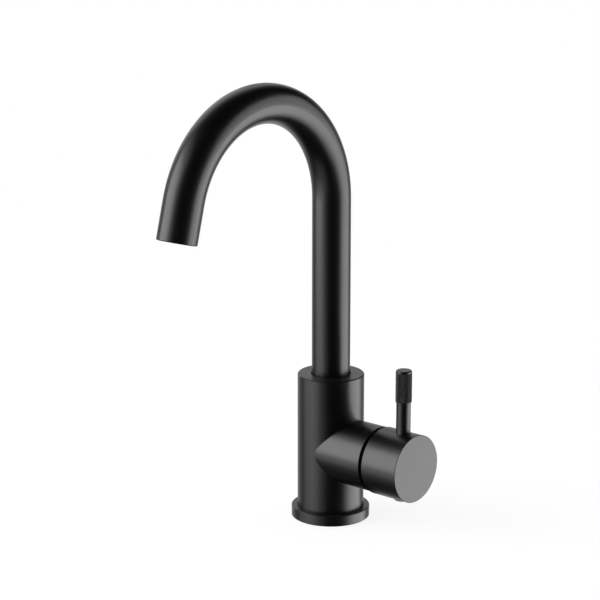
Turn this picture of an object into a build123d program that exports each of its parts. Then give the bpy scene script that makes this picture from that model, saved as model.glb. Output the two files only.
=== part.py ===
from build123d import *
from math import cos, radians, sin
import os

# Basin mixer tap with a swan-neck spout and a lever on a side arm, in millimetres.
# The origin is the centre of the base, on the basin. +Z is up, the spout reaches towards -Y
# and the arm points along +X.

# Column, base ring and side arm
COLUMN_R = 23.0
COLUMN_TOP = 102.5
COLUMN_TOP_EDGE = 0.6
RING_R = 27.15
RING_HEIGHT = 7.5
RING_SEAT = 6.3
SPIGOT_R = 19.0
ARM_HEIGHT = 49.55
ARM_R = 22.6
ARM_END = 43.8
EDGE = 0.4
BASE_SEAL_R = 25.0
BASE_SEAL_BORE_R = 20.5
BASE_SEAL_HEIGHT = 1.8

# Swan-neck tube
TUBE_R = 13.2
TUBE_BORE_R = 11.55
TUBE_FOOT = 96.5
BEND_START = 225.2
BEND_R = 72.25
BEND_ANGLE = 165.1
SPOUT_END_LENGTH = 25.7
MOUTH_EDGE = 0.5

# Bore for the spout in the column
SOCKET_MOUTH_R = 13.9
SOCKET_SHOULDER = 92.0
SOCKET_R = 12.06
SOCKET_FLOOR = 70.5

# Tail that turns in that bore, and the grooves in it
TAIL_R = 12.0
TAIL_END = 72.0
TAIL_FLANGE = 94.5
TAIL_TOP = 106.0
TAIL_BORE_R = 8.0
TAIL_LEAD = 0.8
KEEPER_HEIGHT = 88.0
KEEPER_GROOVE = 2.6
KEEPER_GROOVE_R = 10.8
KEEPER_SCREW_R = 2.45
KEEPER_TIP_R = 1.2
KEEPER_TIP = 11.1
O_RING_HEIGHTS = (77.7, 82.2)
O_RING_GROOVE = 2.6
O_RING_GROOVE_R = 10.2
O_RING_WIDTH = 2.3
GUIDE_RING_HEIGHT = 74.2
GUIDE_RING_WIDTH = 1.8
GUIDE_RING_GROOVE_R = 11.1

# Drilled waterways in the casting, seen from the arm's axis
PORT_ACROSS = 7.0
PORT_UP = 4.5
PORT_DRILL_R = 3.1
OUTLET_DOWN = 4.6
OUTLET_DRILL_R = 3.8
RISER_X = -7.5
RISER_R = 4.0

# Water inlets and fixing stud in the underside
INLET_SPACING = 18.0
INLET_THREAD_R = 4.5
INLET_THREAD_DEPTH = 11.0
INLET_BORE_R = 3.6
STUD_X = -13.5
STUD_THREAD_R = 3.4
STUD_DEPTH = 14.0

# Cartridge chamber in the arm: distances are along the arm, from the column's axis
CHAMBER_FLOOR = 9.0
CHAMBER_R = 17.5
NUT_BORE_START = 29.8
NUT_R = 18.6
PEG_ACROSS = 10.5
PEG_DOWN = 8.0
PEG_R = 2.0
PEG_LENGTH = 2.6

# Cartridge, from the chamber floor outwards
BASE_START = 9.4
BASE_FLANGE_END = 11.2
BASE_END = 13.6
FIXED_DISC_END = 17.2
MOVING_DISC_END = 20.2
RAIL_START = 20.9
CARRIER_END = 24.4
FLANGE_START = 24.8
FLANGE_END = 28.0
SHOULDER = 28.2
SHOULDER_END = 30.2
PIVOT = 32.7
NUT_THREAD_END = 34.2
NECK_END = 34.5
NUT_END = 37.2
ROTOR_END = 38.0
STEM_END = 69.2

# Cartridge housing and port plate
HOUSING_R = 17.3
HOUSING_BORE_R = 15.7
HOUSING_NECK_R = 13.4
SNAP_HEIGHT = 12.4
SNAP_WIDTH = 5.0
SNAP_DEPTH = 1.0
DISC_KEY_WIDTH = 4.0
DISC_KEY_DEPTH = 1.2
PORT_SEAL_DEPTH = 1.6
PORT_SEAL_R = 4.75
OUTLET_SEAL_R = 5.35
DISC_SEAL_DEPTH = 1.0
DISC_SEAL_WALL = 1.0

# Ceramic discs: two curved inlet ports and a round outlet in the fixed one, a pocket in the moving one
FIXED_DISC_R = 15.2
INLET_ARC_R = 8.3
INLET_ARC_START = 51.2
INLET_ARC_SPAN = 9.6
INLET_ARC_WIDTH = 3.8
OUTLET_R = 3.4
MOVING_DISC_R = 11.6
POCKET_DEPTH = 1.8
POCKET_R = 5.6
POCKET_LOBE_R = 4.4
DRIVE_KEY_WIDTH = 4.0
DRIVE_KEY_REACH = 1.4
DRIVE_KEY_DEPTH = 2.0

# Turning sleeve, carrier and stem
TURN_ANGLE = 45.0
ROTOR_FLANGE_R = 15.4
ROTOR_NECK_R = 10.9
RAIL_GAP = 19.0
CARRIER_WIDTH = 18.8
CARRIER_SOCKET = 4.92
STEM_SIDE = 8.0
STEM_SLOT = 13.2
STEM_HUB_R = 4.4
STEM_NECK_R = 1.7
BALL_DROP = 10.0
BALL_R = 2.4
PIN_R = 1.5
STOP_LUG_WIDTH = 3.0
STOP_LUG_REACH = 16.3
STOP_RECESS_R = 16.5

# Handle cap and lever
CAP_RIM = 46.7
CAP_FACE = 75.5
CAP_R = 23.25
CAP_BORE_R = 21.3
CAP_EDGE = 0.25
CAP_CAVITY_END = 57.6
CAP_POCKET_END = 72.0
CAP_BOSS_R = 9.5
CAP_RIB_WIDTH = 14.0
LEVER_X = 64.05
ROD_R = 4.9
ROD_SEAT = 20.0
ROD_THREAD_R = 3.0
ROD_THREAD_END = 8.5
GRIP_START = 94.0
GRIP_TOP = 116.6
GRIP_R = 5.4
GRIP_ROUND = 1.2
GRIP_BORE_R = 3.5
GRIP_BORE_DEPTH = 18.0
CAP_SCREW_R = 2.5
CAP_SCREW_LENGTH = 8.0
SCREW_KEY_ACROSS = 2.5
SCREW_KEY_DEPTH = 3.0
PLUG_R = 5.75
PLUG_SEAT = 20.6
PLUG_FACE = 24.0
PLUG_EDGE = 0.6
PLUG_STALK_R = 3.35
PLUG_STALK_END = 15.0
DOME_R = 23.4
DOME_WALL = 1.2
DOME_MOUTH_R = 14.0
DOME_FLANGE = 1.4
DOME_SKIRT_R = 17.3
DOME_SKIRT_START = 39.5

# Aerator: heights are along the mouth's own axis, and negative inside the spout
HOLDER_R = 11.5
HOLDER_BORE_R = 10.75
HOLDER_END = -13.0
AERATOR_R = 10.7
AERATOR_BORE_R = 9.2
AERATOR_TOP = -10.2
AERATOR_LIP = -1.6
GRID_SEAT = -3.8
JET_PLATE_SEAT = -8.0
GRID_CELL = 1.9
GRID_PITCH = 2.4
GRID_CELLS = ((-3, 4), (-2, 5), (-1, 6), (0, 7), (1, 6), (2, 5), (3, 4))
JET_R = 0.5
JET_CIRCLES = ((12, 7.0), (8, 4.4))
KEY_NOTCHES = 12

# Clearance between turned parts, and between moulded ones
FIT = 0.05
LOOSE = 0.1

ON_FLOOR = (Align.CENTER, Align.CENTER, Align.MIN)

# The arm's own frame: local x runs across (+Y), local y runs up (+Z), local z runs along the arm
ARM = Plane(origin=(0, 0, ARM_HEIGHT), x_dir=(0, 1, 0), z_dir=(1, 0, 0))

# The frame of the pin through the cartridge: local z runs across the arm
PIN = Plane(origin=(0, 0, PIVOT), z_dir=(1, 0, 0))

# The screw at the back of the column: local z points outwards
KEEPER = Plane(origin=(0, 0, KEEPER_HEIGHT), z_dir=(0, 1, 0))

# The spout mouth's own frame: local z leaves the mouth with the water
SPOUT_DROP = radians(BEND_ANGLE)
MOUTH = Plane(
    origin=(
        0,
        -BEND_R * (1 - cos(SPOUT_DROP)) - SPOUT_END_LENGTH * sin(SPOUT_DROP),
        BEND_START + BEND_R * sin(SPOUT_DROP) + SPOUT_END_LENGTH * cos(SPOUT_DROP),
    ),
    x_dir=(1, 0, 0),
    z_dir=(0, -sin(SPOUT_DROP), cos(SPOUT_DROP)),
)


def turned(*outline):
    """Solid of revolution about Z from (radius, height) corners."""
    return revolve(make_face(Plane.XZ * Polyline(*outline, close=True)), axis=Axis.Z)


def bar(radius, low, high, x=0.0, y=0.0):
    """Round bar that stands parallel to Z."""
    return Pos(x, y, low) * Cylinder(radius, high - low, align=ON_FLOOR)


def ring(outer, inner, low, high, x=0.0, y=0.0):
    """Flat-sided ring round an axis parallel to Z."""
    return bar(outer, low, high, x, y) - bar(inner, low, high, x, y)


def block(across, up, low, high, x=0.0, y=0.0):
    """Rectangular block that stands parallel to Z."""
    return Pos(x, y, low) * Box(across, up, high - low, align=ON_FLOOR)


def plate(outline, low, high):
    """Flat outline given its thickness between two heights."""
    return extrude(Plane.XY.offset(low) * outline, high - low)


def hexagon(across_flats):
    """Regular hexagon by its width across flats."""
    return RegularPolygon(across_flats / 2, 6, major_radius=False)


def disc_ports(growth=0.0):
    """Outlines of the three ports in the fixed disc: the outlet and two inlets, grown by a margin."""
    outlet = Pos(0, -OUTLET_DOWN) * Circle(OUTLET_R + growth)
    arc = CenterArc((0, 0), INLET_ARC_R, INLET_ARC_START, INLET_ARC_SPAN)
    right = SlotArc(arc, INLET_ARC_WIDTH + 2 * growth)
    left = mirror(right, about=Plane.YZ)
    return [outlet, right, left]


def body():
    column = turned(
        (0, RING_SEAT),
        (COLUMN_R, RING_SEAT),
        (COLUMN_R, COLUMN_TOP - COLUMN_TOP_EDGE),
        (COLUMN_R - COLUMN_TOP_EDGE, COLUMN_TOP),
        (0, COLUMN_TOP),
    )
    arm = turned((0, 0), (ARM_R, 0), (ARM_R, ARM_END - EDGE), (ARM_R - EDGE, ARM_END), (0, ARM_END))
    casting = column + bar(SPIGOT_R, 0, RING_SEAT) + ARM * arm

    # Bore for the spout
    casting -= bar(SOCKET_R, SOCKET_FLOOR, COLUMN_TOP)
    casting -= bar(SOCKET_MOUTH_R, SOCKET_SHOULDER, COLUMN_TOP)

    # Chamber for the cartridge, with the wider thread for its nut, and two holes for its pegs
    casting -= ARM * bar(CHAMBER_R, CHAMBER_FLOOR, ARM_END)
    casting -= ARM * bar(NUT_R, NUT_BORE_START, ARM_END)
    peg_hole = CHAMBER_FLOOR - PEG_LENGTH - 0.4
    for side in (-1, 1):
        casting -= ARM * bar(PEG_R + FIT, peg_hole, CHAMBER_FLOOR, side * PEG_ACROSS, -PEG_DOWN)

    # Hot and cold water rise from the base and enter the chamber through its floor
    inlet_top = ARM_HEIGHT + PORT_UP + PORT_DRILL_R + 0.3
    for side in (-1, 1):
        inlet_y = side * INLET_SPACING / 2
        casting -= bar(INLET_THREAD_R, 0, INLET_THREAD_DEPTH, 0, inlet_y)
        casting -= bar(INLET_BORE_R, 0, inlet_top, 0, inlet_y)
        casting -= ARM * bar(PORT_DRILL_R, -1.0, CHAMBER_FLOOR, side * PORT_ACROSS, PORT_UP)

    # Mixed water leaves through the middle of the floor and rises into the bore for the spout
    casting -= ARM * bar(OUTLET_DRILL_R, RISER_X, CHAMBER_FLOOR, 0, -OUTLET_DOWN)
    casting -= bar(RISER_R, ARM_HEIGHT - OUTLET_DOWN, SOCKET_FLOOR, RISER_X, 0)

    # Fixing stud under the base, and the screw at the back that keeps the spout in
    casting -= bar(STUD_THREAD_R, 0, STUD_DEPTH, STUD_X, 0)
    casting -= KEEPER * bar(KEEPER_SCREW_R + FIT, TAIL_R - 1, COLUMN_R + 1)
    return casting


def base_ring():
    blank = turned(
        (SPIGOT_R + 0.15, 0),
        (RING_R - EDGE, 0),
        (RING_R, EDGE),
        (RING_R, RING_HEIGHT - EDGE),
        (RING_R - EDGE, RING_HEIGHT),
        (COLUMN_R + 0.15, RING_HEIGHT),
        (COLUMN_R + 0.15, RING_SEAT),
        (SPIGOT_R + 0.15, RING_SEAT),
    )
    return blank - base_seal()


def base_seal():
    return ring(BASE_SEAL_R, BASE_SEAL_BORE_R, 0, BASE_SEAL_HEIGHT)


def spout_tube():
    foot = (0, 0, TUBE_FOOT)
    bend_foot = (0, 0, BEND_START)
    halfway = SPOUT_DROP / 2
    bend_crown = (0, -BEND_R * (1 - cos(halfway)), BEND_START + BEND_R * sin(halfway))
    bend_end = (0, -BEND_R * (1 - cos(SPOUT_DROP)), BEND_START + BEND_R * sin(SPOUT_DROP))
    route = (
        Line(foot, bend_foot)
        + ThreePointArc(bend_foot, bend_crown, bend_end)
        + Line(bend_end, tuple(MOUTH.origin))
    )
    wall = Plane.XY.offset(TUBE_FOOT) * (Circle(TUBE_R) - Circle(TUBE_BORE_R))
    tube = sweep(wall, path=route)
    inside_the_edge = turned((0, -MOUTH_EDGE), (TUBE_R, -MOUTH_EDGE), (TUBE_R - MOUTH_EDGE, 0), (0, 0))
    edge = ring(TUBE_R + 1, TUBE_R - MOUTH_EDGE, -MOUTH_EDGE, 0) - inside_the_edge
    return tube - MOUTH * edge


def spout_tail():
    tail = turned(
        (TAIL_BORE_R, TAIL_END),
        (TAIL_R - TAIL_LEAD, TAIL_END),
        (TAIL_R, TAIL_END + TAIL_LEAD),
        (TAIL_R, TAIL_FLANGE),
        (TUBE_R, TAIL_FLANGE),
        (TUBE_R, TUBE_FOOT),
        (TUBE_BORE_R - FIT, TUBE_FOOT),
        (TUBE_BORE_R - FIT, TAIL_TOP - 1.0),
        (TUBE_BORE_R - 1.0, TAIL_TOP),
        (TAIL_BORE_R, TAIL_TOP),
    )
    grooves = [(height, O_RING_GROOVE, O_RING_GROOVE_R) for height in O_RING_HEIGHTS]
    grooves.append((KEEPER_HEIGHT, KEEPER_GROOVE, KEEPER_GROOVE_R))
    grooves.append((GUIDE_RING_HEIGHT, GUIDE_RING_WIDTH, GUIDE_RING_GROOVE_R))
    for height, width, root in grooves:
        tail -= ring(TAIL_R + 1, root, height - width / 2, height + width / 2)
    return tail


def squeezed_o_ring(height):
    """O-ring as it sits between the bore and its groove: flattened where it touches them."""
    outer = SOCKET_R - 0.02
    inner = O_RING_GROOVE_R + 0.02
    half = O_RING_WIDTH / 2
    flat = 0.4
    return turned(
        (inner, height - flat),
        (inner + half - flat, height - half),
        (outer - half + flat, height - half),
        (outer, height - flat),
        (outer, height + flat),
        (outer - half + flat, height + half),
        (inner + half - flat, height + half),
        (inner, height + flat),
    )


def spout_o_rings():
    return Compound([squeezed_o_ring(height).solid() for height in O_RING_HEIGHTS])


def slip_ring():
    return ring(SOCKET_MOUTH_R - FIT, TAIL_R + FIT, SOCKET_SHOULDER, TAIL_FLANGE)


def tail_guide_ring():
    half = GUIDE_RING_WIDTH / 2 - FIT
    low, high = GUIDE_RING_HEIGHT - half, GUIDE_RING_HEIGHT + half
    hoop = ring(SOCKET_R - 0.02, GUIDE_RING_GROOVE_R + FIT, low, high)
    split_gap = block(4.0, 1.2, low, high, -TAIL_R, 0)
    return hoop - split_gap


def spout_grub_screw():
    thread_end = 12.6
    head = 22.0
    shank = bar(KEEPER_SCREW_R, thread_end, head) + bar(KEEPER_TIP_R, KEEPER_TIP, thread_end)
    key = plate(hexagon(SCREW_KEY_ACROSS), head - SCREW_KEY_DEPTH, head)
    return KEEPER * (shank - key)


def cartridge_base():
    plug = bar(HOUSING_R, BASE_START, BASE_FLANGE_END)
    plug += bar(HOUSING_BORE_R - LOOSE, BASE_FLANGE_END, BASE_END)
    for side in (-1, 1):
        plug += bar(PEG_R, CHAMBER_FLOOR - PEG_LENGTH, BASE_START, side * PEG_ACROSS, -PEG_DOWN)
        plug += block(
            2.2,
            SNAP_WIDTH,
            SNAP_HEIGHT - SNAP_DEPTH / 2,
            SNAP_HEIGHT + SNAP_DEPTH / 2,
            side * HOUSING_BORE_R,
            0,
        )

    # Round ports with their seal seats on the water side, curved ports towards the disc
    middle = (BASE_START + BASE_END) / 2
    seal_seat = BASE_START + PORT_SEAL_DEPTH
    plug -= bar(OUTLET_SEAL_R + FIT, BASE_START, seal_seat, 0, -OUTLET_DOWN)
    plug -= bar(OUTLET_R + 0.2, BASE_START, BASE_END, 0, -OUTLET_DOWN)
    for side in (-1, 1):
        plug -= bar(PORT_SEAL_R + FIT, BASE_START, seal_seat, side * PORT_ACROSS, PORT_UP)
        plug -= bar(PORT_DRILL_R, BASE_START, middle, side * PORT_ACROSS, PORT_UP)
    for port in disc_ports()[1:]:
        plug -= plate(port, middle - 0.5, BASE_END)
    for recess in disc_ports(DISC_SEAL_WALL + LOOSE + FIT):
        plug -= plate(recess, BASE_END - DISC_SEAL_DEPTH, BASE_END)
    return ARM * plug


def port_seals():
    end = BASE_START + PORT_SEAL_DEPTH
    seals = [ring(OUTLET_SEAL_R, OUTLET_DRILL_R, CHAMBER_FLOOR, end, 0, -OUTLET_DOWN)]
    for side in (-1, 1):
        seals.append(
            ring(PORT_SEAL_R, PORT_DRILL_R + LOOSE, CHAMBER_FLOOR, end, side * PORT_ACROSS, PORT_UP)
        )
    return ARM * Compound([seal.solid() for seal in seals])


def disc_seals():
    outlines = zip(disc_ports(DISC_SEAL_WALL + LOOSE), disc_ports(LOOSE))
    seals = [plate(outer - inner, BASE_END - DISC_SEAL_DEPTH, BASE_END) for outer, inner in outlines]
    return ARM * Compound([seal.solid() for seal in seals])


def fixed_disc():
    disc = bar(FIXED_DISC_R, BASE_END, FIXED_DISC_END)
    for port in disc_ports():
        disc -= plate(port, BASE_END, FIXED_DISC_END)
    for side in (-1, 1):
        disc -= block(
            2 * DISC_KEY_DEPTH, DISC_KEY_WIDTH + 0.3, BASE_END, FIXED_DISC_END, side * (FIXED_DISC_R + 0.2), 0
        )
    return ARM * disc


def moving_disc():
    disc = bar(MOVING_DISC_R, FIXED_DISC_END, MOVING_DISC_END)
    pocket_end = FIXED_DISC_END + POCKET_DEPTH
    disc -= bar(POCKET_R, FIXED_DISC_END, pocket_end)
    disc -= bar(POCKET_LOBE_R, FIXED_DISC_END, pocket_end, 0, -OUTLET_DOWN)
    key_start = MOVING_DISC_END - DRIVE_KEY_DEPTH - 0.2
    between_keys = 2 * (MOVING_DISC_R - DRIVE_KEY_REACH)
    keyways = block(DRIVE_KEY_WIDTH, 2 * MOVING_DISC_R + 2, key_start, MOVING_DISC_END)
    disc -= keyways - block(DRIVE_KEY_WIDTH, between_keys, key_start, MOVING_DISC_END)
    return ARM * disc


def disc_carrier():
    puck = bar(MOVING_DISC_R, MOVING_DISC_END, CARRIER_END)
    puck &= block(CARRIER_WIDTH, 2 * MOVING_DISC_R, MOVING_DISC_END, CARRIER_END)
    key_start = MOVING_DISC_END - DRIVE_KEY_DEPTH
    between_keys = 2 * (MOVING_DISC_R - DRIVE_KEY_REACH + LOOSE)
    keys = bar(MOVING_DISC_R - LOOSE, key_start, MOVING_DISC_END)
    keys &= block(DRIVE_KEY_WIDTH - LOOSE, 2 * MOVING_DISC_R, key_start, MOVING_DISC_END)
    puck += keys - block(DRIVE_KEY_WIDTH, between_keys, key_start, MOVING_DISC_END)
    puck -= block(CARRIER_SOCKET, CARRIER_SOCKET, MOVING_DISC_END, CARRIER_END)
    return ARM * puck


def rotor():
    sleeve = bar(ROTOR_FLANGE_R, FLANGE_START, FLANGE_END)
    sleeve += bar(ROTOR_NECK_R, FLANGE_END, ROTOR_END)
    rails = bar(ROTOR_FLANGE_R - 0.2, RAIL_START, FLANGE_START)
    rails -= block(RAIL_GAP, 2 * ROTOR_FLANGE_R, RAIL_START, FLANGE_START)
    sleeve += rails
    lug_root = ROTOR_FLANGE_R - 1.5
    lug_middle = (lug_root + STOP_LUG_REACH) / 2
    sleeve += block(
        STOP_LUG_WIDTH, STOP_LUG_REACH - lug_root, FLANGE_START + 0.3, FLANGE_END - 0.3, 0, -lug_middle
    )
    sleeve -= block(STEM_SIDE + 0.12, STEM_SLOT, FLANGE_START, ROTOR_END)
    return ARM * (sleeve - PIN * bar(PIN_R, -ROTOR_NECK_R, ROTOR_NECK_R))


def pivot_pin():
    reach = ROTOR_NECK_R - 0.4
    return ARM * PIN * bar(PIN_R, -reach, reach)


def stem():
    half = STEM_SIDE / 2
    square = chamfer(block(STEM_SIDE, STEM_SIDE, PIVOT, STEM_END).edges().filter_by(Axis.Z), 0.6)
    lever = PIN * bar(STEM_HUB_R, -half, half) + square
    lever += bar(STEM_NECK_R, PIVOT - BALL_DROP, PIVOT)
    lever += Pos(0, 0, PIVOT - BALL_DROP) * Sphere(BALL_R)
    lever -= PIN * bar(PIN_R + FIT, -half, half)
    return ARM * lever


def cartridge_housing():
    shell = turned(
        (HOUSING_BORE_R, BASE_FLANGE_END),
        (HOUSING_R, BASE_FLANGE_END),
        (HOUSING_R, SHOULDER_END),
        (HOUSING_NECK_R, SHOULDER_END),
        (HOUSING_NECK_R, NECK_END),
        (ROTOR_NECK_R + FIT, NECK_END),
        (ROTOR_NECK_R + FIT, SHOULDER),
        (HOUSING_BORE_R, SHOULDER),
    )

    # Windows for the snaps of the port plate, and keys that hold the fixed disc
    wall_middle = (HOUSING_R + HOUSING_BORE_R) / 2
    snap_half = SNAP_DEPTH / 2 + LOOSE
    for side in (-1, 1):
        shell -= block(
            4.0, SNAP_WIDTH + 0.3, SNAP_HEIGHT - snap_half, SNAP_HEIGHT + snap_half, side * wall_middle, 0
        )
        key_middle = side * (HOUSING_BORE_R + 0.2 - DISC_KEY_DEPTH / 2)
        shell += block(
            DISC_KEY_DEPTH + 0.4, DISC_KEY_WIDTH, BASE_END + 0.2, FIXED_DISC_END - 0.2, key_middle, 0
        )

    # Recess below the shoulder in which the stop lug of the sleeve swings
    swing = radians(TURN_ANGLE + 6.5)
    far = 30.0
    corner_x, corner_y = far * sin(swing), -far * cos(swing)
    corners = ((0, 0), (-corner_x, corner_y), (0, -2 * far), (corner_x, corner_y))
    sector = make_face(Polyline(*corners, close=True))
    recess_start = FLANGE_START + 0.1
    recess = ring(STOP_RECESS_R, HOUSING_BORE_R - 1, recess_start, SHOULDER)
    recess &= plate(sector, recess_start, SHOULDER)
    return ARM * (shell - recess)


def cartridge_nut():
    nut = bar(NUT_R - FIT, SHOULDER_END, NUT_THREAD_END) + plate(hexagon(30.0), NUT_THREAD_END, NUT_END)
    return ARM * (nut - bar(HOUSING_NECK_R + 0.2, SHOULDER_END, NUT_END))


def trim_dome():
    skirt = ring(NUT_R - FIT, DOME_SKIRT_R, DOME_SKIRT_START, ARM_END)
    reach = PIVOT + DOME_R
    flange_end = ARM_END + DOME_FLANGE
    outside = (Pos(0, 0, PIVOT) * Sphere(DOME_R)) & bar(DOME_R, ARM_END, reach)
    inside = (Pos(0, 0, PIVOT) * Sphere(DOME_R - DOME_WALL)) & bar(DOME_R, flange_end, reach)
    dome = outside - inside - bar(DOME_SKIRT_R, ARM_END, flange_end) - bar(DOME_MOUTH_R, ARM_END, reach)
    return ARM * (dome + skirt)


def handle_cap():
    cup = turned(
        (0, CAP_RIM),
        (CAP_R - CAP_EDGE, CAP_RIM),
        (CAP_R, CAP_RIM + CAP_EDGE),
        (CAP_R, CAP_FACE - CAP_EDGE),
        (CAP_R - CAP_EDGE, CAP_FACE),
        (0, CAP_FACE),
    )

    # Hollow inside, with a boss on a cross rib for the square end of the stem
    cup -= bar(CAP_BORE_R, CAP_RIM, CAP_CAVITY_END)
    pocket = ring(CAP_BORE_R, CAP_BOSS_R, CAP_CAVITY_END, CAP_POCKET_END)
    cup -= pocket - block(CAP_RIB_WIDTH, 2 * CAP_R, CAP_CAVITY_END, CAP_POCKET_END)
    stem_hole = STEM_SIDE + 2 * FIT
    cup -= block(stem_hole, stem_hole, CAP_CAVITY_END, STEM_END + 0.6)
    cup = ARM * cup

    # Threaded hole and seat for the lever, straight above the stem
    outside = ARM_HEIGHT + CAP_R + 1
    cup -= bar(ROD_R + FIT, ARM_HEIGHT + ROD_SEAT, outside, LEVER_X)
    cup -= bar(ROD_THREAD_R + FIT, ARM_HEIGHT + ROD_THREAD_END - 1, ARM_HEIGHT + ROD_SEAT, LEVER_X)

    # Hole for the clamping screw straight below the stem, and the seat for its cover
    screw_end = ARM_HEIGHT - STEM_SIDE / 2 - CAP_SCREW_LENGTH - 1.5
    cup -= bar(CAP_SCREW_R + FIT, screw_end, ARM_HEIGHT, LEVER_X)
    cup -= bar(PLUG_STALK_R + FIT, ARM_HEIGHT - PLUG_SEAT, screw_end, LEVER_X)
    cup -= bar(PLUG_R + FIT, ARM_HEIGHT - CAP_R - 1, ARM_HEIGHT - PLUG_SEAT, LEVER_X)
    return cup


def lever_rod():
    rod = bar(ROD_R, ARM_HEIGHT + ROD_SEAT, GRIP_START)
    rod += bar(ROD_THREAD_R, ARM_HEIGHT + ROD_THREAD_END, ARM_HEIGHT + ROD_SEAT)
    rod += bar(GRIP_BORE_R - FIT, GRIP_START, GRIP_START + GRIP_BORE_DEPTH - 0.5)
    return Pos(LEVER_X, 0, 0) * rod


def knurled_grip():
    sleeve = bar(GRIP_R, GRIP_START, GRIP_TOP)
    sleeve = fillet(sleeve.edges().group_by(Axis.Z)[-1], GRIP_ROUND)
    sleeve = chamfer(sleeve.edges().group_by(Axis.Z)[0], EDGE)
    sleeve -= bar(GRIP_BORE_R, GRIP_START, GRIP_START + GRIP_BORE_DEPTH)
    return Pos(LEVER_X, 0, 0) * sleeve


def handle_grub_screw():
    tip = ARM_HEIGHT - STEM_SIDE / 2
    head = tip - CAP_SCREW_LENGTH
    key = plate(hexagon(SCREW_KEY_ACROSS), head, head + SCREW_KEY_DEPTH)
    return Pos(LEVER_X, 0, 0) * (bar(CAP_SCREW_R, head, tip) - key)


def index_plug():
    seat = ARM_HEIGHT - PLUG_SEAT
    button = bar(PLUG_R, ARM_HEIGHT - PLUG_FACE, seat)
    button = fillet(button.edges().group_by(Axis.Z)[0], PLUG_EDGE)
    stalk = bar(PLUG_STALK_R, seat, ARM_HEIGHT - PLUG_STALK_END)
    return Pos(LEVER_X, 0, 0) * (button + stalk)


def aerator_holder():
    lip_r = AERATOR_BORE_R + 0.4
    return MOUTH * turned(
        (HOLDER_BORE_R, -1.0),
        (HOLDER_R, -1.0),
        (HOLDER_R, HOLDER_END),
        (lip_r, HOLDER_END),
        (lip_r, HOLDER_END + 1.0),
        (HOLDER_BORE_R, HOLDER_END + 1.0),
    )


def aerator_housing():
    shelf_r = AERATOR_BORE_R - 0.7
    sleeve = turned(
        (AERATOR_BORE_R, AERATOR_TOP),
        (AERATOR_R, AERATOR_TOP),
        (AERATOR_R, AERATOR_LIP),
        (AERATOR_BORE_R, AERATOR_LIP),
        (AERATOR_BORE_R, GRID_SEAT),
        (shelf_r, GRID_SEAT),
        (shelf_r, JET_PLATE_SEAT),
        (AERATOR_BORE_R, JET_PLATE_SEAT),
    )
    notch = block(1.6, 1.6, AERATOR_LIP - 1.0, AERATOR_LIP)
    for place in PolarLocations(AERATOR_R - 0.4, KEY_NOTCHES):
        sleeve -= place * notch
    return MOUTH * sleeve


def aerator_jet_plate():
    top = JET_PLATE_SEAT - 2.0
    disc = bar(AERATOR_BORE_R - FIT, top, JET_PLATE_SEAT)
    for holes, circle_r in JET_CIRCLES:
        for place in PolarLocations(circle_r, holes):
            disc -= place * bar(JET_R, top, JET_PLATE_SEAT)
    return MOUTH * disc


def aerator_grid():
    comb = Circle(AERATOR_BORE_R - FIT)
    for row, cells in GRID_CELLS:
        up = row * GRID_PITCH * cos(radians(30))
        for cell in range(cells):
            across = GRID_PITCH * (cell - (cells - 1) / 2)
            comb -= Pos(across, up) * Rot(0, 0, 30) * hexagon(GRID_CELL)
    return MOUTH * plate(comb, GRID_SEAT, AERATOR_LIP - 0.2)


def aerator_seal():
    return MOUTH * ring(AERATOR_R - FIT, AERATOR_BORE_R + LOOSE, HOLDER_END + 1.0, AERATOR_TOP)


PIECES = (
    body,
    base_ring,
    base_seal,
    spout_tube,
    spout_tail,
    spout_o_rings,
    slip_ring,
    tail_guide_ring,
    spout_grub_screw,
    cartridge_base,
    port_seals,
    disc_seals,
    fixed_disc,
    moving_disc,
    disc_carrier,
    rotor,
    pivot_pin,
    stem,
    cartridge_housing,
    cartridge_nut,
    trim_dome,
    handle_cap,
    lever_rod,
    knurled_grip,
    handle_grub_screw,
    index_plug,
    aerator_holder,
    aerator_housing,
    aerator_jet_plate,
    aerator_grid,
    aerator_seal,
)

os.makedirs("parts", exist_ok=True)
for piece in PIECES:
    export_step(piece(), "parts/" + piece.__name__ + ".step")
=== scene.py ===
import math

import bmesh
import bpy
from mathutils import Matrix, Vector


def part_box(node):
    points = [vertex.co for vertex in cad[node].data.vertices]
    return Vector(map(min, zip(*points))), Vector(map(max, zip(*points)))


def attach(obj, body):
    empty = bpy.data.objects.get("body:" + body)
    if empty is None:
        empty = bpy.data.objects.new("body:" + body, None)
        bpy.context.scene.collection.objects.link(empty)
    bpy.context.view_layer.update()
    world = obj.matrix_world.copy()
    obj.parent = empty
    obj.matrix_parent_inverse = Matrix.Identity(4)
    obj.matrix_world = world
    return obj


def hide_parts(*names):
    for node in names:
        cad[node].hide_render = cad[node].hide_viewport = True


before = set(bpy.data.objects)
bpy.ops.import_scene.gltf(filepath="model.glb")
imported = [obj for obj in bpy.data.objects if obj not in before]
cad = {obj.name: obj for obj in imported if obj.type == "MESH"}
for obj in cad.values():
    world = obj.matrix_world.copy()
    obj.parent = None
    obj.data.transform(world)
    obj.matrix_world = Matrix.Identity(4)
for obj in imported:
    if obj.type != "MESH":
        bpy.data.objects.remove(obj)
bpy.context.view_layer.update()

MM = 0.001

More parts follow.
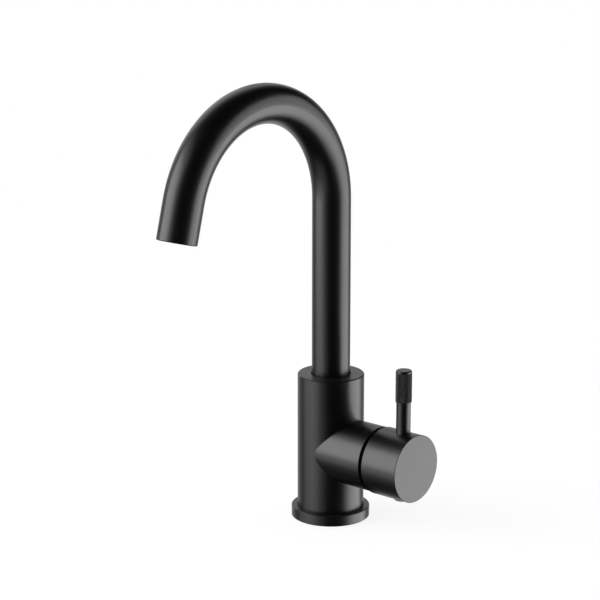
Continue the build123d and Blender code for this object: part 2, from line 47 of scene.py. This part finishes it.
# Body: one brass casting with the column and the side arm, machined, polished and then coated satin
# black. It stands on the basin on its spigot. The coat stops at the underside, in the chamber of the
# arm and deep in the bore for the spout, where the machined brass stays bare.
COAT_COLOR = (0.0022, 0.0022, 0.0023)
COAT_CLOUD_COLOR = (0.0036, 0.0036, 0.0037)
# The lighter edge colour is partly the coat rubbed thin and partly a painted highlight along the edges.
COAT_EDGE_WEAR_AND_HIGHLIGHT_COLOR = (0.012, 0.012, 0.012)
COAT_EDGE_WIDTH = 0.25 * MM
COAT_ROUGHNESS = (0.305, 0.335)
COAT_SETTLED = 0.12
COAT_SETTLES_FROM, COAT_SETTLES_FULLY = 0.97, 0.995
COAT_IOR = 1.7
COAT_GRAIN = 0.35 * MM
COAT_CLOUD = 14 * MM
COAT_BUMP = 0.0016 * MM
BRASS_COLOR = (0.72, 0.50, 0.22)
BRASS_DARK = (0.52, 0.34, 0.14)
ARM_AXIS = (0, 0, 49.55 * MM)
ACROSS_X = (0, 1, 1)
ACROSS_Z = (1, 1, 0)
BARE_UNDERSIDE_TOP = 0.2 * MM
BARE_BORE_R, BARE_BORE_TOP = 13.0 * MM, 92.5 * MM
BARE_CHAMBER_R, BARE_CHAMBER_START = 18.8 * MM, 8.0 * MM


def effect(name, inputs, outputs):
    """Empty shader node group with named number inputs and outputs, and its entry and exit nodes."""
    tree = bpy.data.node_groups.new(name, "ShaderNodeTree")
    for label in inputs:
        tree.interface.new_socket(label, in_out="INPUT", socket_type="NodeSocketFloat")
    for label in outputs:
        tree.interface.new_socket(label, in_out="OUTPUT", socket_type="NodeSocketFloat")
    return tree, tree.nodes.new("NodeGroupInput"), tree.nodes.new("NodeGroupOutput")


def wire(tree, kind, settings=None, **sockets):
    """Adds a node to a tree. A socket's value is a number, or another node's output to link from."""
    node = tree.nodes.new(kind)
    for key, value in (settings or {}).items():
        setattr(node, key, value)
    for key, value in sockets.items():
        socket = node.inputs[int(key[1:])] if key[1:].isdigit() else node.inputs[key.replace("_", " ")]
        if isinstance(value, bpy.types.NodeSocket):
            tree.links.new(value, socket)
        else:
            socket.default_value = value
    return node


def math_node(tree, operation, a, b=0.0):
    """Result of one calculation with two values."""
    return wire(tree, "ShaderNodeMath", {"operation": operation}, s0=a, s1=b).outputs[0]


def make_grain_effect():
    """Fine skin of a sprayed or moulded surface, and the slow patches in its finish."""
    inputs, outputs = ["Grains Per Metre", "Patches Per Metre"], ["Height", "Patches"]
    tree, entry, leave = effect("surface_grain", inputs, outputs)
    place = tree.nodes.new("ShaderNodeTexCoord").outputs["Object"]
    fine, slow = entry.outputs["Grains Per Metre"], entry.outputs["Patches Per Metre"]
    grain = wire(tree, "ShaderNodeTexNoise", Vector=place, Scale=fine, Detail=2.0, Roughness=0.6)
    patches = wire(tree, "ShaderNodeTexNoise", Vector=place, Scale=slow, Detail=3.0, Roughness=0.5)
    tree.links.new(grain.outputs["Fac"], leave.inputs["Height"])
    tree.links.new(patches.outputs["Fac"], leave.inputs["Patches"])
    return tree


def make_edge_wear_and_highlight_effect():
    """Mask of the sharp outer and inner edges, where a coat is thinner and gets rubbed, and where a painted
    highlight is laid along the edges.
    """
    tree, entry, leave = effect("rubbed_edges_and_painted_highlight", ["Width"], ["Mask"])
    bevel = wire(tree, "ShaderNodeBevel", {"samples": 4}, Radius=entry.outputs["Width"])
    rounded = bevel.outputs["Normal"]
    real = tree.nodes.new("ShaderNodeNewGeometry").outputs["Normal"]
    agree = wire(tree, "ShaderNodeVectorMath", {"operation": "DOT_PRODUCT"}, s0=rounded, s1=real)
    agree = agree.outputs["Value"]
    mask = wire(tree, "ShaderNodeMapRange", Value=agree, From_Min=0.995, From_Max=0.90)
    tree.links.new(mask.outputs["Result"], leave.inputs["Mask"])
    return tree


def make_flat_top_effect():
    """Mask of the flat upward faces, on which overspray settles and dries dull."""
    tree, entry, leave = effect("flat_tops", ["Least Rise", "Full Rise"], ["Mask"])
    facing = tree.nodes.new("ShaderNodeTexCoord").outputs["Normal"]
    rise = wire(tree, "ShaderNodeSeparateXYZ", Vector=facing).outputs["Z"]
    least, full = entry.outputs["Least Rise"], entry.outputs["Full Rise"]
    mask = wire(tree, "ShaderNodeMapRange", Value=rise, From_Min=least, From_Max=full)
    tree.links.new(mask.outputs["Result"], leave.inputs["Mask"])
    return tree


GRAIN = make_grain_effect()
EDGE_WEAR_AND_HIGHLIGHT = make_edge_wear_and_highlight_effect()
FLAT_TOPS = make_flat_top_effect()


def new_material(name, roughness, metallic=0.0, ior=1.5):
    """Material with a Principled shader. Its constant values sit straight on the sockets."""
    material = bpy.data.materials.new(name)
    material.use_nodes = True
    shader = material.node_tree.nodes["Principled BSDF"]
    shader.inputs["Roughness"].default_value = roughness
    shader.inputs["Metallic"].default_value = metallic
    shader.inputs["IOR"].default_value = ior
    return material, material.node_tree, shader


def place_effect(tree, group, **values):
    """Puts a node group into a material, with its own values."""
    node = tree.nodes.new("ShaderNodeGroup")
    node.node_tree = group
    for key, value in values.items():
        node.inputs[key.replace("_", " ")].default_value = value
    return node


def mix_colors(tree, mask, low, high):
    """Colour between two others. Each is an RGB colour or another mix."""
    mix = tree.nodes.new("ShaderNodeMix")
    mix.data_type = "RGBA"
    tree.links.new(mask, mix.inputs["Factor"])
    for side, color in ((6, low), (7, high)):
        if isinstance(color, bpy.types.NodeSocket):
            tree.links.new(color, mix.inputs[side])
        else:
            mix.inputs[side].default_value = (*color, 1.0)
    return mix.outputs[2]


def patchy_roughness(tree, patches, smooth, dull):
    """Roughness that drifts between two values with the slow patches of the skin."""
    spread = wire(
        tree, "ShaderNodeMapRange", Value=patches, From_Min=0.3, From_Max=0.7, To_Min=smooth, To_Max=dull
    )
    return spread.outputs["Result"]


def bump(tree, shader, height, depth):
    """Lets a height of the given depth stand out of the surface."""
    node = wire(tree, "ShaderNodeBump", Height=height, Distance=depth, Strength=1.0)
    tree.links.new(node.outputs["Normal"], shader.inputs["Normal"])


def make_black_coat(name, bare=None):
    """Satin black coat with a fine sprayed skin, thinner and lighter on edges, partly from wear and partly
    as a painted highlight, and duller on tops.

    bare gives the mask of the places where the brass under it shows.
    """
    material, tree, shader = new_material(name, sum(COAT_ROUGHNESS) / 2, ior=COAT_IOR)
    skin = place_effect(tree, GRAIN, Grains_Per_Metre=1 / COAT_GRAIN, Patches_Per_Metre=1 / COAT_CLOUD)
    edge = place_effect(tree, EDGE_WEAR_AND_HIGHLIGHT, Width=COAT_EDGE_WIDTH)
    color = mix_colors(tree, skin.outputs["Patches"], COAT_COLOR, COAT_CLOUD_COLOR)
    # Lighter colour on the edges: partly rubbed coat, partly a painted highlight.
    color = mix_colors(tree, edge.outputs["Mask"], color, COAT_EDGE_WEAR_AND_HIGHLIGHT_COLOR)
    roughness = patchy_roughness(tree, skin.outputs["Patches"], *COAT_ROUGHNESS)
    flat = place_effect(tree, FLAT_TOPS, Least_Rise=COAT_SETTLES_FROM, Full_Rise=COAT_SETTLES_FULLY)
    settled = math_node(tree, "MULTIPLY", flat.outputs["Mask"], COAT_SETTLED)
    roughness = math_node(tree, "ADD", roughness, settled)
    if bare:
        mask = bare(tree)
        color = mix_colors(tree, mask, color, BRASS_COLOR)
        tree.links.new(mask, shader.inputs["Metallic"])
    tree.links.new(color, shader.inputs["Base Color"])
    tree.links.new(roughness, shader.inputs["Roughness"])
    bump(tree, shader, skin.outputs["Height"], COAT_BUMP)
    return material


def distance_from_axis(tree, place, axis_point, keep):
    """Distance of a surface point from an axis. keep is 1 for the directions across the axis."""
    away = wire(tree, "ShaderNodeVectorMath", {"operation": "SUBTRACT"}, s0=place, s1=axis_point)
    away = away.outputs["Vector"]
    across = wire(tree, "ShaderNodeVectorMath", {"operation": "MULTIPLY"}, s0=away, s1=keep)
    across = across.outputs["Vector"]
    return wire(tree, "ShaderNodeVectorMath", {"operation": "LENGTH"}, s0=across).outputs["Value"]


def bare_brass_of_the_body(tree):
    """1 on the underside, in the spout's bore and in the cartridge chamber; 0 where the coat is."""
    place = tree.nodes.new("ShaderNodeTexCoord").outputs["Object"]
    split = wire(tree, "ShaderNodeSeparateXYZ", Vector=place)
    from_column = distance_from_axis(tree, place, (0, 0, 0), ACROSS_Z)
    from_arm = distance_from_axis(tree, place, ARM_AXIS, ACROSS_X)
    underside = math_node(tree, "LESS_THAN", split.outputs["Z"], BARE_UNDERSIDE_TOP)
    in_column = math_node(tree, "LESS_THAN", from_column, BARE_BORE_R)
    below_the_top = math_node(tree, "LESS_THAN", split.outputs["Z"], BARE_BORE_TOP)
    in_arm = math_node(tree, "LESS_THAN", from_arm, BARE_CHAMBER_R)
    beyond_the_column = math_node(tree, "GREATER_THAN", split.outputs["X"], BARE_CHAMBER_START)
    bore = math_node(tree, "MULTIPLY", in_column, below_the_top)
    chamber = math_node(tree, "MULTIPLY", in_arm, beyond_the_column)
    return math_node(tree, "MAXIMUM", underside, math_node(tree, "MAXIMUM", bore, chamber))


def finish_nodes(material, *names):
    """Gives CAD nodes their finish."""
    for name in names:
        mesh = cad[name].data
        mesh.materials.clear()
        mesh.materials.append(material)


black_coat = make_black_coat("black_coat")
finish_nodes(make_black_coat("black_coat_over_brass", bare_brass_of_the_body), "body")

# Base ring: a turned brass trim ring in the same satin black, slipped over the spigot under the column,
# with a fine dark joint between the two.
finish_nodes(black_coat, "base_ring")

# Base seal: a flat rubber ring in the groove of the base ring, squeezed against the basin.
RUBBER_COLOR = (0.018, 0.018, 0.018)
RUBBER_BLOOM_COLOR = (0.034, 0.034, 0.035)
MOULDED_PATCHES_PER_METRE = 120.0
MOULDED_SPREAD = 0.04


def make_moulded(name, color, patch_color, roughness, grain, depth, ior=1.5):
    """Moulded rubber, plastic or pressed ceramic: fine skin and slow patches of colour."""
    material, tree, shader = new_material(name, roughness, ior=ior)
    skin = place_effect(tree, GRAIN, Grains_Per_Metre=1 / grain, Patches_Per_Metre=MOULDED_PATCHES_PER_METRE)
    patches = skin.outputs["Patches"]
    tree.links.new(mix_colors(tree, patches, color, patch_color), shader.inputs["Base Color"])
    spread = patchy_roughness(tree, patches, roughness - MOULDED_SPREAD, roughness + MOULDED_SPREAD)
    tree.links.new(spread, shader.inputs["Roughness"])
    bump(tree, shader, skin.outputs["Height"], depth)
    return material


rubber = make_moulded(
    "rubber", RUBBER_COLOR, RUBBER_BLOOM_COLOR, roughness=0.72, grain=0.18 * MM, depth=0.006 * MM
)
finish_nodes(rubber, "base_seal")

# Cartridge: the port plate with its rubber rings, the two ceramic discs, the carrier, the turning
# sleeve and the housing. They are moulded in acetal and pressed in alumina, and a brass ring nut
# clamps the stack in the arm.
HOUSING_COLOR = (0.70, 0.70, 0.67)
HOUSING_PATCH = (0.78, 0.78, 0.75)
SLEEVE_COLOR = (0.16, 0.21, 0.29)
SLEEVE_PATCH = (0.19, 0.24, 0.32)
ALUMINA_COLOR = (0.84, 0.82, 0.76)
ALUMINA_PATCH = (0.88, 0.86, 0.82)
ALUMINA_IOR = 1.76
STEEL_COLOR = (0.60, 0.60, 0.61)
STEEL_DARK = (0.46, 0.46, 0.47)
BRASS_ROUGHNESS = 0.24
STEEL_ROUGHNESS = 0.28
SCREW_ROUGHNESS = 0.3
METAL_RINGS_PER_METRE = 6000.0
METAL_GRAINS_PER_METRE, METAL_PATCHES_PER_METRE = 2500.0, 90.0
METAL_RING_DEPTH = 0.004 * MM

housing_plastic = make_moulded(
    "cartridge_plastic", HOUSING_COLOR, HOUSING_PATCH, roughness=0.42, grain=0.25 * MM, depth=0.003 * MM
)
sleeve_plastic = make_moulded(
    "sleeve_plastic", SLEEVE_COLOR, SLEEVE_PATCH, roughness=0.38, grain=0.25 * MM, depth=0.003 * MM
)
alumina = make_moulded(
    "lapped_alumina", ALUMINA_COLOR, ALUMINA_PATCH, roughness=0.16, grain=0.12 * MM, depth=0.0004 * MM,
    ior=ALUMINA_IOR
)


def make_turning_effect():
    """Fine rings that a lathe leaves round an axis, on round and flat faces alike."""
    tree, entry, leave = effect("lathe_rings", ["Along", "Out", "Rings Per Metre"], ["Height"])
    travel = math_node(tree, "ADD", entry.outputs["Along"], entry.outputs["Out"])
    rings = math_node(tree, "MULTIPLY", travel, entry.outputs["Rings Per Metre"])
    noise = wire(tree, "ShaderNodeTexNoise", {"noise_dimensions": "1D"}, W=rings, Scale=1.0, Detail=2.0)
    tree.links.new(noise.outputs["Fac"], leave.inputs["Height"])
    return tree


LATHE = make_turning_effect()


def make_turned_metal(name, color, dark_color, roughness, axis_point, across):
    """Machined metal with lathe rings round the piece's own axis."""
    material, tree, shader = new_material(name, roughness, metallic=1.0)
    place = tree.nodes.new("ShaderNodeTexCoord").outputs["Object"]
    axis = [1.0 - keep for keep in across]
    along = wire(tree, "ShaderNodeVectorMath", {"operation": "DOT_PRODUCT"}, s0=place, s1=axis)
    rings = place_effect(tree, LATHE, Rings_Per_Metre=METAL_RINGS_PER_METRE)
    tree.links.new(along.outputs["Value"], rings.inputs["Along"])
    tree.links.new(distance_from_axis(tree, place, axis_point, across), rings.inputs["Out"])
    skin = place_effect(
        tree, GRAIN, Grains_Per_Metre=METAL_GRAINS_PER_METRE, Patches_Per_Metre=METAL_PATCHES_PER_METRE
    )
    tree.links.new(mix_colors(tree, skin.outputs["Patches"], dark_color, color), shader.inputs["Base Color"])
    bump(tree, shader, rings.outputs["Height"], METAL_RING_DEPTH)
    return material


brass_along_arm = make_turned_metal(
    "turned_brass_arm", BRASS_COLOR, BRASS_DARK, BRASS_ROUGHNESS, ARM_AXIS, ACROSS_X
)
steel_along_arm = make_turned_metal(
    "turned_steel_arm", STEEL_COLOR, STEEL_DARK, STEEL_ROUGHNESS, ARM_AXIS, ACROSS_X
)
finish_nodes(housing_plastic, "cartridge_base", "cartridge_housing")
finish_nodes(rubber, "port_seals", "disc_seals")
finish_nodes(alumina, "fixed_disc", "moving_disc")
finish_nodes(sleeve_plastic, "disc_carrier", "rotor")
finish_nodes(steel_along_arm, "pivot_pin", "stem")
finish_nodes(brass_along_arm, "cartridge_nut")

# Trim dome: a thin spun ring in matt black that closes the gap between the arm and the cap, so that
# the cartridge doesn't show when the lever is lifted.
DOME_COLOR = (0.008, 0.008, 0.008)
DOME_PATCH = (0.012, 0.012, 0.012)

dome_coat = make_moulded(
    "dome_coat", DOME_COLOR, DOME_PATCH, roughness=0.55, grain=0.3 * MM, depth=0.004 * MM
)
finish_nodes(dome_coat, "trim_dome")

# Handle cap: a deep cup turned from brass bar and coated like the body. It sits on the square end of
# the stem, and its own screw clamps it from below.
finish_nodes(black_coat, "handle_cap")

# Lever rod: a smooth brass rod screwed into the top of the cap.
finish_nodes(black_coat, "lever_rod")

# Knurled grip: a sleeve on the end of the rod with a fine diamond knurl, whose rolling raised the
# surface a little, a plain neck below it and a rounded top above it, coated black as well.
grip_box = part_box("knurled_grip")
LEVER_X = sum(corner.x for corner in grip_box) / 2
GRIP_LOW, GRIP_HIGH = (corner.z for corner in grip_box)
GRIP_R = grip_box[1].y
KNURL_DEPTH = 0.15 * MM
KNURL_TIP_R = GRIP_R + 0.14 * MM
KNURL_GROOVE_R = KNURL_TIP_R - KNURL_DEPTH
KNURL_LOW = GRIP_LOW + 0.9 * MM
KNURL_HIGH = GRIP_HIGH - 1.6 * MM
KNURL_AROUND = 44
KNURL_ROWS = 56
KNURL_TIP_SHARE = 0.35
PLAIN_R = GRIP_R + 0.08 * MM
TOP_ROUND = 0.9 * MM
TOP_STEPS = 8
TOP_RUN_OUT = 0.12 * MM
NECK_R = PLAIN_R - 0.15 * MM
NECK_RUN_OUT = 0.1 * MM
NECK_CHAMFER = 0.3 * MM
GRIP_BORE_R = 3.6 * MM


def on_lever(radius, turn, height):
    """Point round the upright axis of the lever."""
    return (LEVER_X + radius * math.cos(turn), radius * math.sin(turn), height)


def add_diamond(builder, corners, middle, height, row_height):
    """Four-sided diamond with a small flat tip, over corners that lie in the grooves."""
    reach = KNURL_TIP_SHARE * math.pi / KNURL_AROUND
    rise = KNURL_TIP_SHARE * row_height
    tips = [
        builder.verts.new(on_lever(KNURL_TIP_R, middle + turn, height + lift))
        for turn, lift in ((-reach, 0), (0, -rise), (reach, 0), (0, rise))
    ]
    builder.faces.new(tips)
    for side in range(4):
        after = (side + 1) % 4
        builder.faces.new((corners[side], corners[after], tips[after], tips[side]))


def add_knurl(builder):
    """Diamonds between two sets of helical grooves. Returns the rows of points where the grooves cross."""
    row_height = (KNURL_HIGH - KNURL_LOW) / KNURL_ROWS
    pitch = 2 * math.pi / KNURL_AROUND
    rows = []
    for row in range(KNURL_ROWS + 1):
        turns = [(step + 0.5 * (row % 2)) * pitch for step in range(KNURL_AROUND)]
        height = KNURL_LOW + row * row_height
        rows.append([builder.verts.new(on_lever(KNURL_GROOVE_R, turn, height)) for turn in turns])
    for row in range(1, KNURL_ROWS):
        for step in range(KNURL_AROUND):
            after = (step + 1) % KNURL_AROUND
            between = (step + row % 2) % KNURL_AROUND
            corners = (rows[row][step], rows[row - 1][between], rows[row][after], rows[row + 1][between])
            middle = (step + 0.5 * (row % 2) + 0.5) * pitch
            add_diamond(builder, corners, middle, KNURL_LOW + row * row_height, row_height)
    return rows


def close_zigzag(builder, edge, inner, shift):
    """Fills the half diamonds between the last ring of crossings and the one inside it."""
    for step in range(KNURL_AROUND):
        after = (step + 1) % KNURL_AROUND
        builder.faces.new((edge[step], edge[after], inner[(step + shift) % KNURL_AROUND]))


def turn_profile(builder, ring, profile):
    """Carries a ring of vertices on along a profile of (radius, height) and closes it at the end."""
    for radius, height in profile:
        turns = [math.atan2(vertex.co.y, vertex.co.x - LEVER_X) for vertex in ring]
        beyond = [builder.verts.new(on_lever(radius, turn, height)) for turn in turns]
        for step in range(KNURL_AROUND):
            after = (step + 1) % KNURL_AROUND
            builder.faces.new((ring[step], ring[after], beyond[after], beyond[step]))
        ring = beyond
    builder.faces.new(ring)


def make_knurled_grip():
    """Closed sleeve with the knurl, the rounded top and the plain neck."""
    builder = bmesh.new()
    rows = add_knurl(builder)
    close_zigzag(builder, rows[0], rows[1], 0)
    close_zigzag(builder, rows[-1], rows[-2], KNURL_ROWS % 2)
    top = [(PLAIN_R, KNURL_HIGH + TOP_RUN_OUT)]
    for part in range(TOP_STEPS + 1):
        angle = math.radians(90 * part / TOP_STEPS)
        inward, upward = TOP_ROUND * (1 - math.cos(angle)), TOP_ROUND * (1 - math.sin(angle))
        top.append((PLAIN_R - inward, GRIP_HIGH - upward))
    turn_profile(builder, rows[-1], top)
    bottom = [(NECK_R, KNURL_LOW - NECK_RUN_OUT), (NECK_R, GRIP_LOW + NECK_CHAMFER)]
    bottom += [(NECK_R - NECK_CHAMFER, GRIP_LOW), (GRIP_BORE_R, GRIP_LOW)]
    turn_profile(builder, rows[0], bottom)
    bmesh.ops.recalc_face_normals(builder, faces=builder.faces)
    mesh = bpy.data.meshes.new("knurl")
    builder.to_mesh(mesh)
    builder.free()
    mesh.materials.append(black_coat)
    knurl = bpy.data.objects.new("knurl", mesh)
    bpy.context.scene.collection.objects.link(knurl)
    return knurl


knurl = make_knurled_grip()
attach(knurl, "handle")
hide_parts("knurled_grip")

# Clamping screw and index plug: a steel screw below the stem, and the round black plastic button that
# covers it.
PLUG_COLOR = (0.011, 0.011, 0.011)
PLUG_PATCH = (0.016, 0.016, 0.016)

clamping_steel = make_turned_metal(
    "turned_steel_screw", STEEL_COLOR, STEEL_DARK, SCREW_ROUGHNESS, (LEVER_X, 0, 0), ACROSS_Z
)
plug_plastic = make_moulded(
    "plug_plastic", PLUG_COLOR, PLUG_PATCH, roughness=0.36, grain=0.4 * MM, depth=0.002 * MM
)
finish_nodes(clamping_steel, "handle_grub_screw")
finish_nodes(plug_plastic, "index_plug")

# Spout tube: drawn brass tube bent to a swan neck and coated black outside. It stands on the flange of
# its tail and turns with it.
finish_nodes(black_coat, "spout_tube")

# Spout tail: turned brass, soldered in the foot of the tube. Two O-rings seal it in the column, a slip
# ring and a split guide ring carry it, and a dog-point screw in its groove keeps it in.
BEARING_COLOR = (0.80, 0.80, 0.76)
BEARING_PATCH = (0.86, 0.86, 0.83)
KEEPER_AXIS = (0, 0, 88 * MM)
ACROSS_Y = (1, 0, 1)

brass_upright = make_turned_metal(
    "turned_brass_upright", BRASS_COLOR, BRASS_DARK, BRASS_ROUGHNESS, (0, 0, 0), ACROSS_Z
)
bearing_plastic = make_moulded(
    "bearing_plastic", BEARING_COLOR, BEARING_PATCH, roughness=0.4, grain=0.25 * MM, depth=0.002 * MM
)
keeper_steel = make_turned_metal(
    "turned_steel_back_screw", STEEL_COLOR, STEEL_DARK, SCREW_ROUGHNESS, KEEPER_AXIS, ACROSS_Y
)
finish_nodes(brass_upright, "spout_tail")
finish_nodes(rubber, "spout_o_rings")
finish_nodes(bearing_plastic, "slip_ring", "tail_guide_ring")
finish_nodes(keeper_steel, "spout_grub_screw")

# Aerator: a brass holder screwed into the mouth of the tube, with a moulded sleeve, a jet plate and a
# honeycomb grid inside it.
AERATOR_COLOR = (0.05, 0.052, 0.055)
AERATOR_PATCH = (0.065, 0.067, 0.07)

aerator_plastic = make_moulded(
    "aerator_plastic", AERATOR_COLOR, AERATOR_PATCH, roughness=0.4, grain=0.2 * MM, depth=0.002 * MM
)
finish_nodes(brass_upright, "aerator_holder")
finish_nodes(aerator_plastic, "aerator_housing", "aerator_jet_plate", "aerator_grid")
finish_nodes(rubber, "aerator_seal")

# Camera: a long lens a little above the tap, in front of it and to the right of its spout.
VIEW_AZIMUTH = 41.354
VIEW_ELEVATION = 14.204
VIEW_DISTANCE = 1.43616
VIEW_TARGET = Vector((-15.872, -14.242, 154.194)) * MM
LENS, SENSOR_WIDTH = 126.283, 36.0


def direction(azimuth, elevation):
    """Direction from the tap. Azimuth 0 is towards -Y and 90 towards +X."""
    turn, rise = math.radians(azimuth), math.radians(elevation)
    return Vector((math.sin(turn) * math.cos(rise), -math.cos(turn) * math.cos(rise), math.sin(rise)))


def aim(thing, azimuth, elevation, distance):
    """Sets a camera or lamp at a distance from the view's target and turns it there."""
    away = direction(azimuth, elevation)
    thing.location = VIEW_TARGET + away * distance
    thing.rotation_euler = (-away).to_track_quat("-Z", "Y").to_euler()
    bpy.context.scene.collection.objects.link(thing)


camera = bpy.data.objects.new("camera", bpy.data.cameras.new("camera"))
camera.data.sensor_width = SENSOR_WIDTH
camera.data.lens = LENS
aim(camera, VIEW_AZIMUTH, VIEW_ELEVATION, VIEW_DISTANCE)
bpy.context.scene.camera = camera

# Light: a large softbox on each side of the tap, the right one low and the left one high, each with a
# weaker reflector sheet beside or round it, and one more reflector low on the left.
LAMP_DISTANCE = 2.0
LAMPS = [
    # name, turn from the camera, elevation, half width and half height in degrees, radiance
    ("softbox_right", 84.0, -25.2, 29.5, 24.0, 1.59),
    ("reflector_right", 96.7, -4.3, 28.7, 32.1, 1.30),
    ("softbox_left", -81.7, 14.3, 25.2, 24.7, 2.21),
    ("reflector_left", -73.4, 12.8, 33.8, 42.1, 0.74),
    ("reflector_low_left", -50.1, -33.1, 26.2, 19.8, 0.37),
]


def add_softbox(name, beside, elevation, half_width, half_height, radiance):
    """Rectangular lamp that spans the given half angles as seen from the tap."""
    lamp = bpy.data.lights.new(name, "AREA")
    lamp.shape = "RECTANGLE"
    lamp.size = 2 * LAMP_DISTANCE * math.tan(math.radians(half_width))
    lamp.size_y = 2 * LAMP_DISTANCE * math.tan(math.radians(half_height))
    lamp.energy = radiance * math.pi * lamp.size * lamp.size_y
    holder = bpy.data.objects.new(name, lamp)
    holder.visible_camera = False
    aim(holder, VIEW_AZIMUTH + beside, elevation, LAMP_DISTANCE)


for lamp_values in LAMPS:
    add_softbox(*lamp_values)

# Backdrop and floor: a white sheet hangs behind the tap and runs on under it, shifted a little to the
# right at its foot. The camera sees white all round, and gloss shows the sheet where it hangs and the
# dark studio elsewhere. The floor is a pale disc.
SHEET_TURN = -163.0
SHEET_SIDES = (44.0, 2.0)
SHEET_MIDDLE = 0.02
SHEET_ENDS = (0.90, 0.60)
FOOT_TURN = 171.0
FOOT_SIDE = (135.0, 162.0)
FOOT_FALLOFF = 1.9
FOOT_TO_SHEET = (-0.12, 0.28)
ROOM_LIGHT = 0.4
FLOOR_RADIUS = 0.9
FLOOR_DROP = 0.05 * MM
FLOOR_GREY = (0.8, 0.8, 0.8, 1)
FLOOR_GLOW, FLOOR_GLOW_SHARE = 1.28, 0.65
WHITE = (1, 1, 1, 1)


def fade_between(tree, value, start, end):
    """Smooth step from 0 at start to 1 at end. start may be the higher of the two."""
    settings = {"interpolation_type": "SMOOTHSTEP"}
    step = wire(tree, "ShaderNodeMapRange", settings, Value=value, From_Min=start, From_Max=end)
    return step.outputs["Result"]


def toward(tree, level, turn):
    """Cosine of the angle between a level direction and the one at a turn from the camera."""
    middle = direction(VIEW_AZIMUTH + turn, 0)
    settings = {"operation": "DOT_PRODUCT"}
    return wire(tree, "ShaderNodeVectorMath", settings, s0=level, s1=middle).outputs["Value"]


def sheet_width(tree, level):
    """1 in the middle of the hanging sheet, fading out to both sides."""
    sides = [math.cos(math.radians(turn)) for turn in SHEET_SIDES]
    return fade_between(tree, toward(tree, level, SHEET_TURN), *sides)


def foot_width(tree, level):
    """1 in the middle of the sheet's foot. It fades slowly to the left and ends sooner on the right."""
    near = math_node(tree, "MAXIMUM", toward(tree, level, FOOT_TURN), 0.0)
    slow = math_node(tree, "POWER", near, FOOT_FALLOFF)
    full = math.sin(math.radians(FOOT_SIDE[1] - FOOT_SIDE[0]))
    end = fade_between(tree, toward(tree, level, FOOT_SIDE[0] + 90), 0.0, full)
    return math_node(tree, "MULTIPLY", slow, end)


def make_backdrop():
    """World that is white for the camera, the white sheet for gloss, and a dim room for soft light."""
    world = bpy.data.worlds.new("studio")
    world.use_nodes = True
    tree = world.node_tree
    tree.nodes.clear()
    way = tree.nodes.new("ShaderNodeTexCoord").outputs["Generated"]
    level = wire(tree, "ShaderNodeVectorMath", {"operation": "MULTIPLY"}, s0=way, s1=(1, 1, 0))
    level = wire(tree, "ShaderNodeVectorMath", {"operation": "NORMALIZE"}, s0=level.outputs["Vector"])
    level = level.outputs["Vector"]
    rise = wire(tree, "ShaderNodeSeparateXYZ", Vector=way).outputs["Z"]
    up = fade_between(tree, rise, *FOOT_TO_SHEET)
    down = math_node(tree, "SUBTRACT", 1.0, up)
    high = math_node(tree, "MULTIPLY", sheet_width(tree, level), up)
    low = math_node(tree, "MULTIPLY", foot_width(tree, level), down)
    off_middle = math_node(tree, "ABSOLUTE", math_node(tree, "SUBTRACT", rise, SHEET_MIDDLE))
    height = fade_between(tree, off_middle, *SHEET_ENDS)
    sheet = math_node(tree, "MULTIPLY", math_node(tree, "ADD", high, low), height)
    ray = tree.nodes.new("ShaderNodeLightPath").outputs
    clear = math_node(tree, "MAXIMUM", ray["Is Camera Ray"], ray["Is Transmission Ray"])
    gloss = math_node(tree, "MULTIPLY", ray["Is Glossy Ray"], sheet)
    room = math_node(tree, "MULTIPLY", ray["Is Diffuse Ray"], ROOM_LIGHT)
    strength = math_node(tree, "MAXIMUM", clear, math_node(tree, "MAXIMUM", gloss, room))
    white = wire(tree, "ShaderNodeBackground", Color=WHITE, Strength=strength)
    wire(tree, "ShaderNodeOutputWorld", Surface=white.outputs[0])
    bpy.context.scene.world = world


make_backdrop()


def make_floor_material():
    """Pale floor that glows a little, fades out at its rim and can't be seen from below."""
    material = bpy.data.materials.new("floor")
    material.use_nodes = True
    tree = material.node_tree
    tree.nodes.clear()
    place = tree.nodes.new("ShaderNodeTexCoord").outputs["Object"]
    out = distance_from_axis(tree, place, (0, 0, 0), ACROSS_Z)
    fade = fade_between(tree, out, FLOOR_RADIUS / 4, FLOOR_RADIUS)
    behind = tree.nodes.new("ShaderNodeNewGeometry").outputs["Backfacing"]
    hidden = math_node(tree, "MAXIMUM", fade, behind)
    pale = wire(tree, "ShaderNodeBsdfDiffuse", Color=FLOOR_GREY)
    glow = wire(tree, "ShaderNodeEmission", Color=WHITE, Strength=FLOOR_GLOW)
    sheet = wire(tree, "ShaderNodeMixShader", s0=FLOOR_GLOW_SHARE, s1=pale.outputs[0], s2=glow.outputs[0])
    clear = tree.nodes.new("ShaderNodeBsdfTransparent")
    mixed = wire(tree, "ShaderNodeMixShader", s0=hidden, s1=sheet.outputs[0], s2=clear.outputs[0])
    wire(tree, "ShaderNodeOutputMaterial", Surface=mixed.outputs[0])
    return material


floor_builder = bmesh.new()
bmesh.ops.create_circle(floor_builder, cap_ends=True, radius=FLOOR_RADIUS, segments=96)
floor_mesh = bpy.data.meshes.new("floor")
floor_builder.to_mesh(floor_mesh)
floor_builder.free()
floor = bpy.data.objects.new("floor", floor_mesh)
floor_mesh.materials.append(make_floor_material())
bpy.context.scene.collection.objects.link(floor)
floor.location.z = -FLOOR_DROP
floor.visible_glossy = False
floor.visible_diffuse = False
floor.visible_shadow = False

bpy.context.scene.view_settings.view_transform = "Standard"
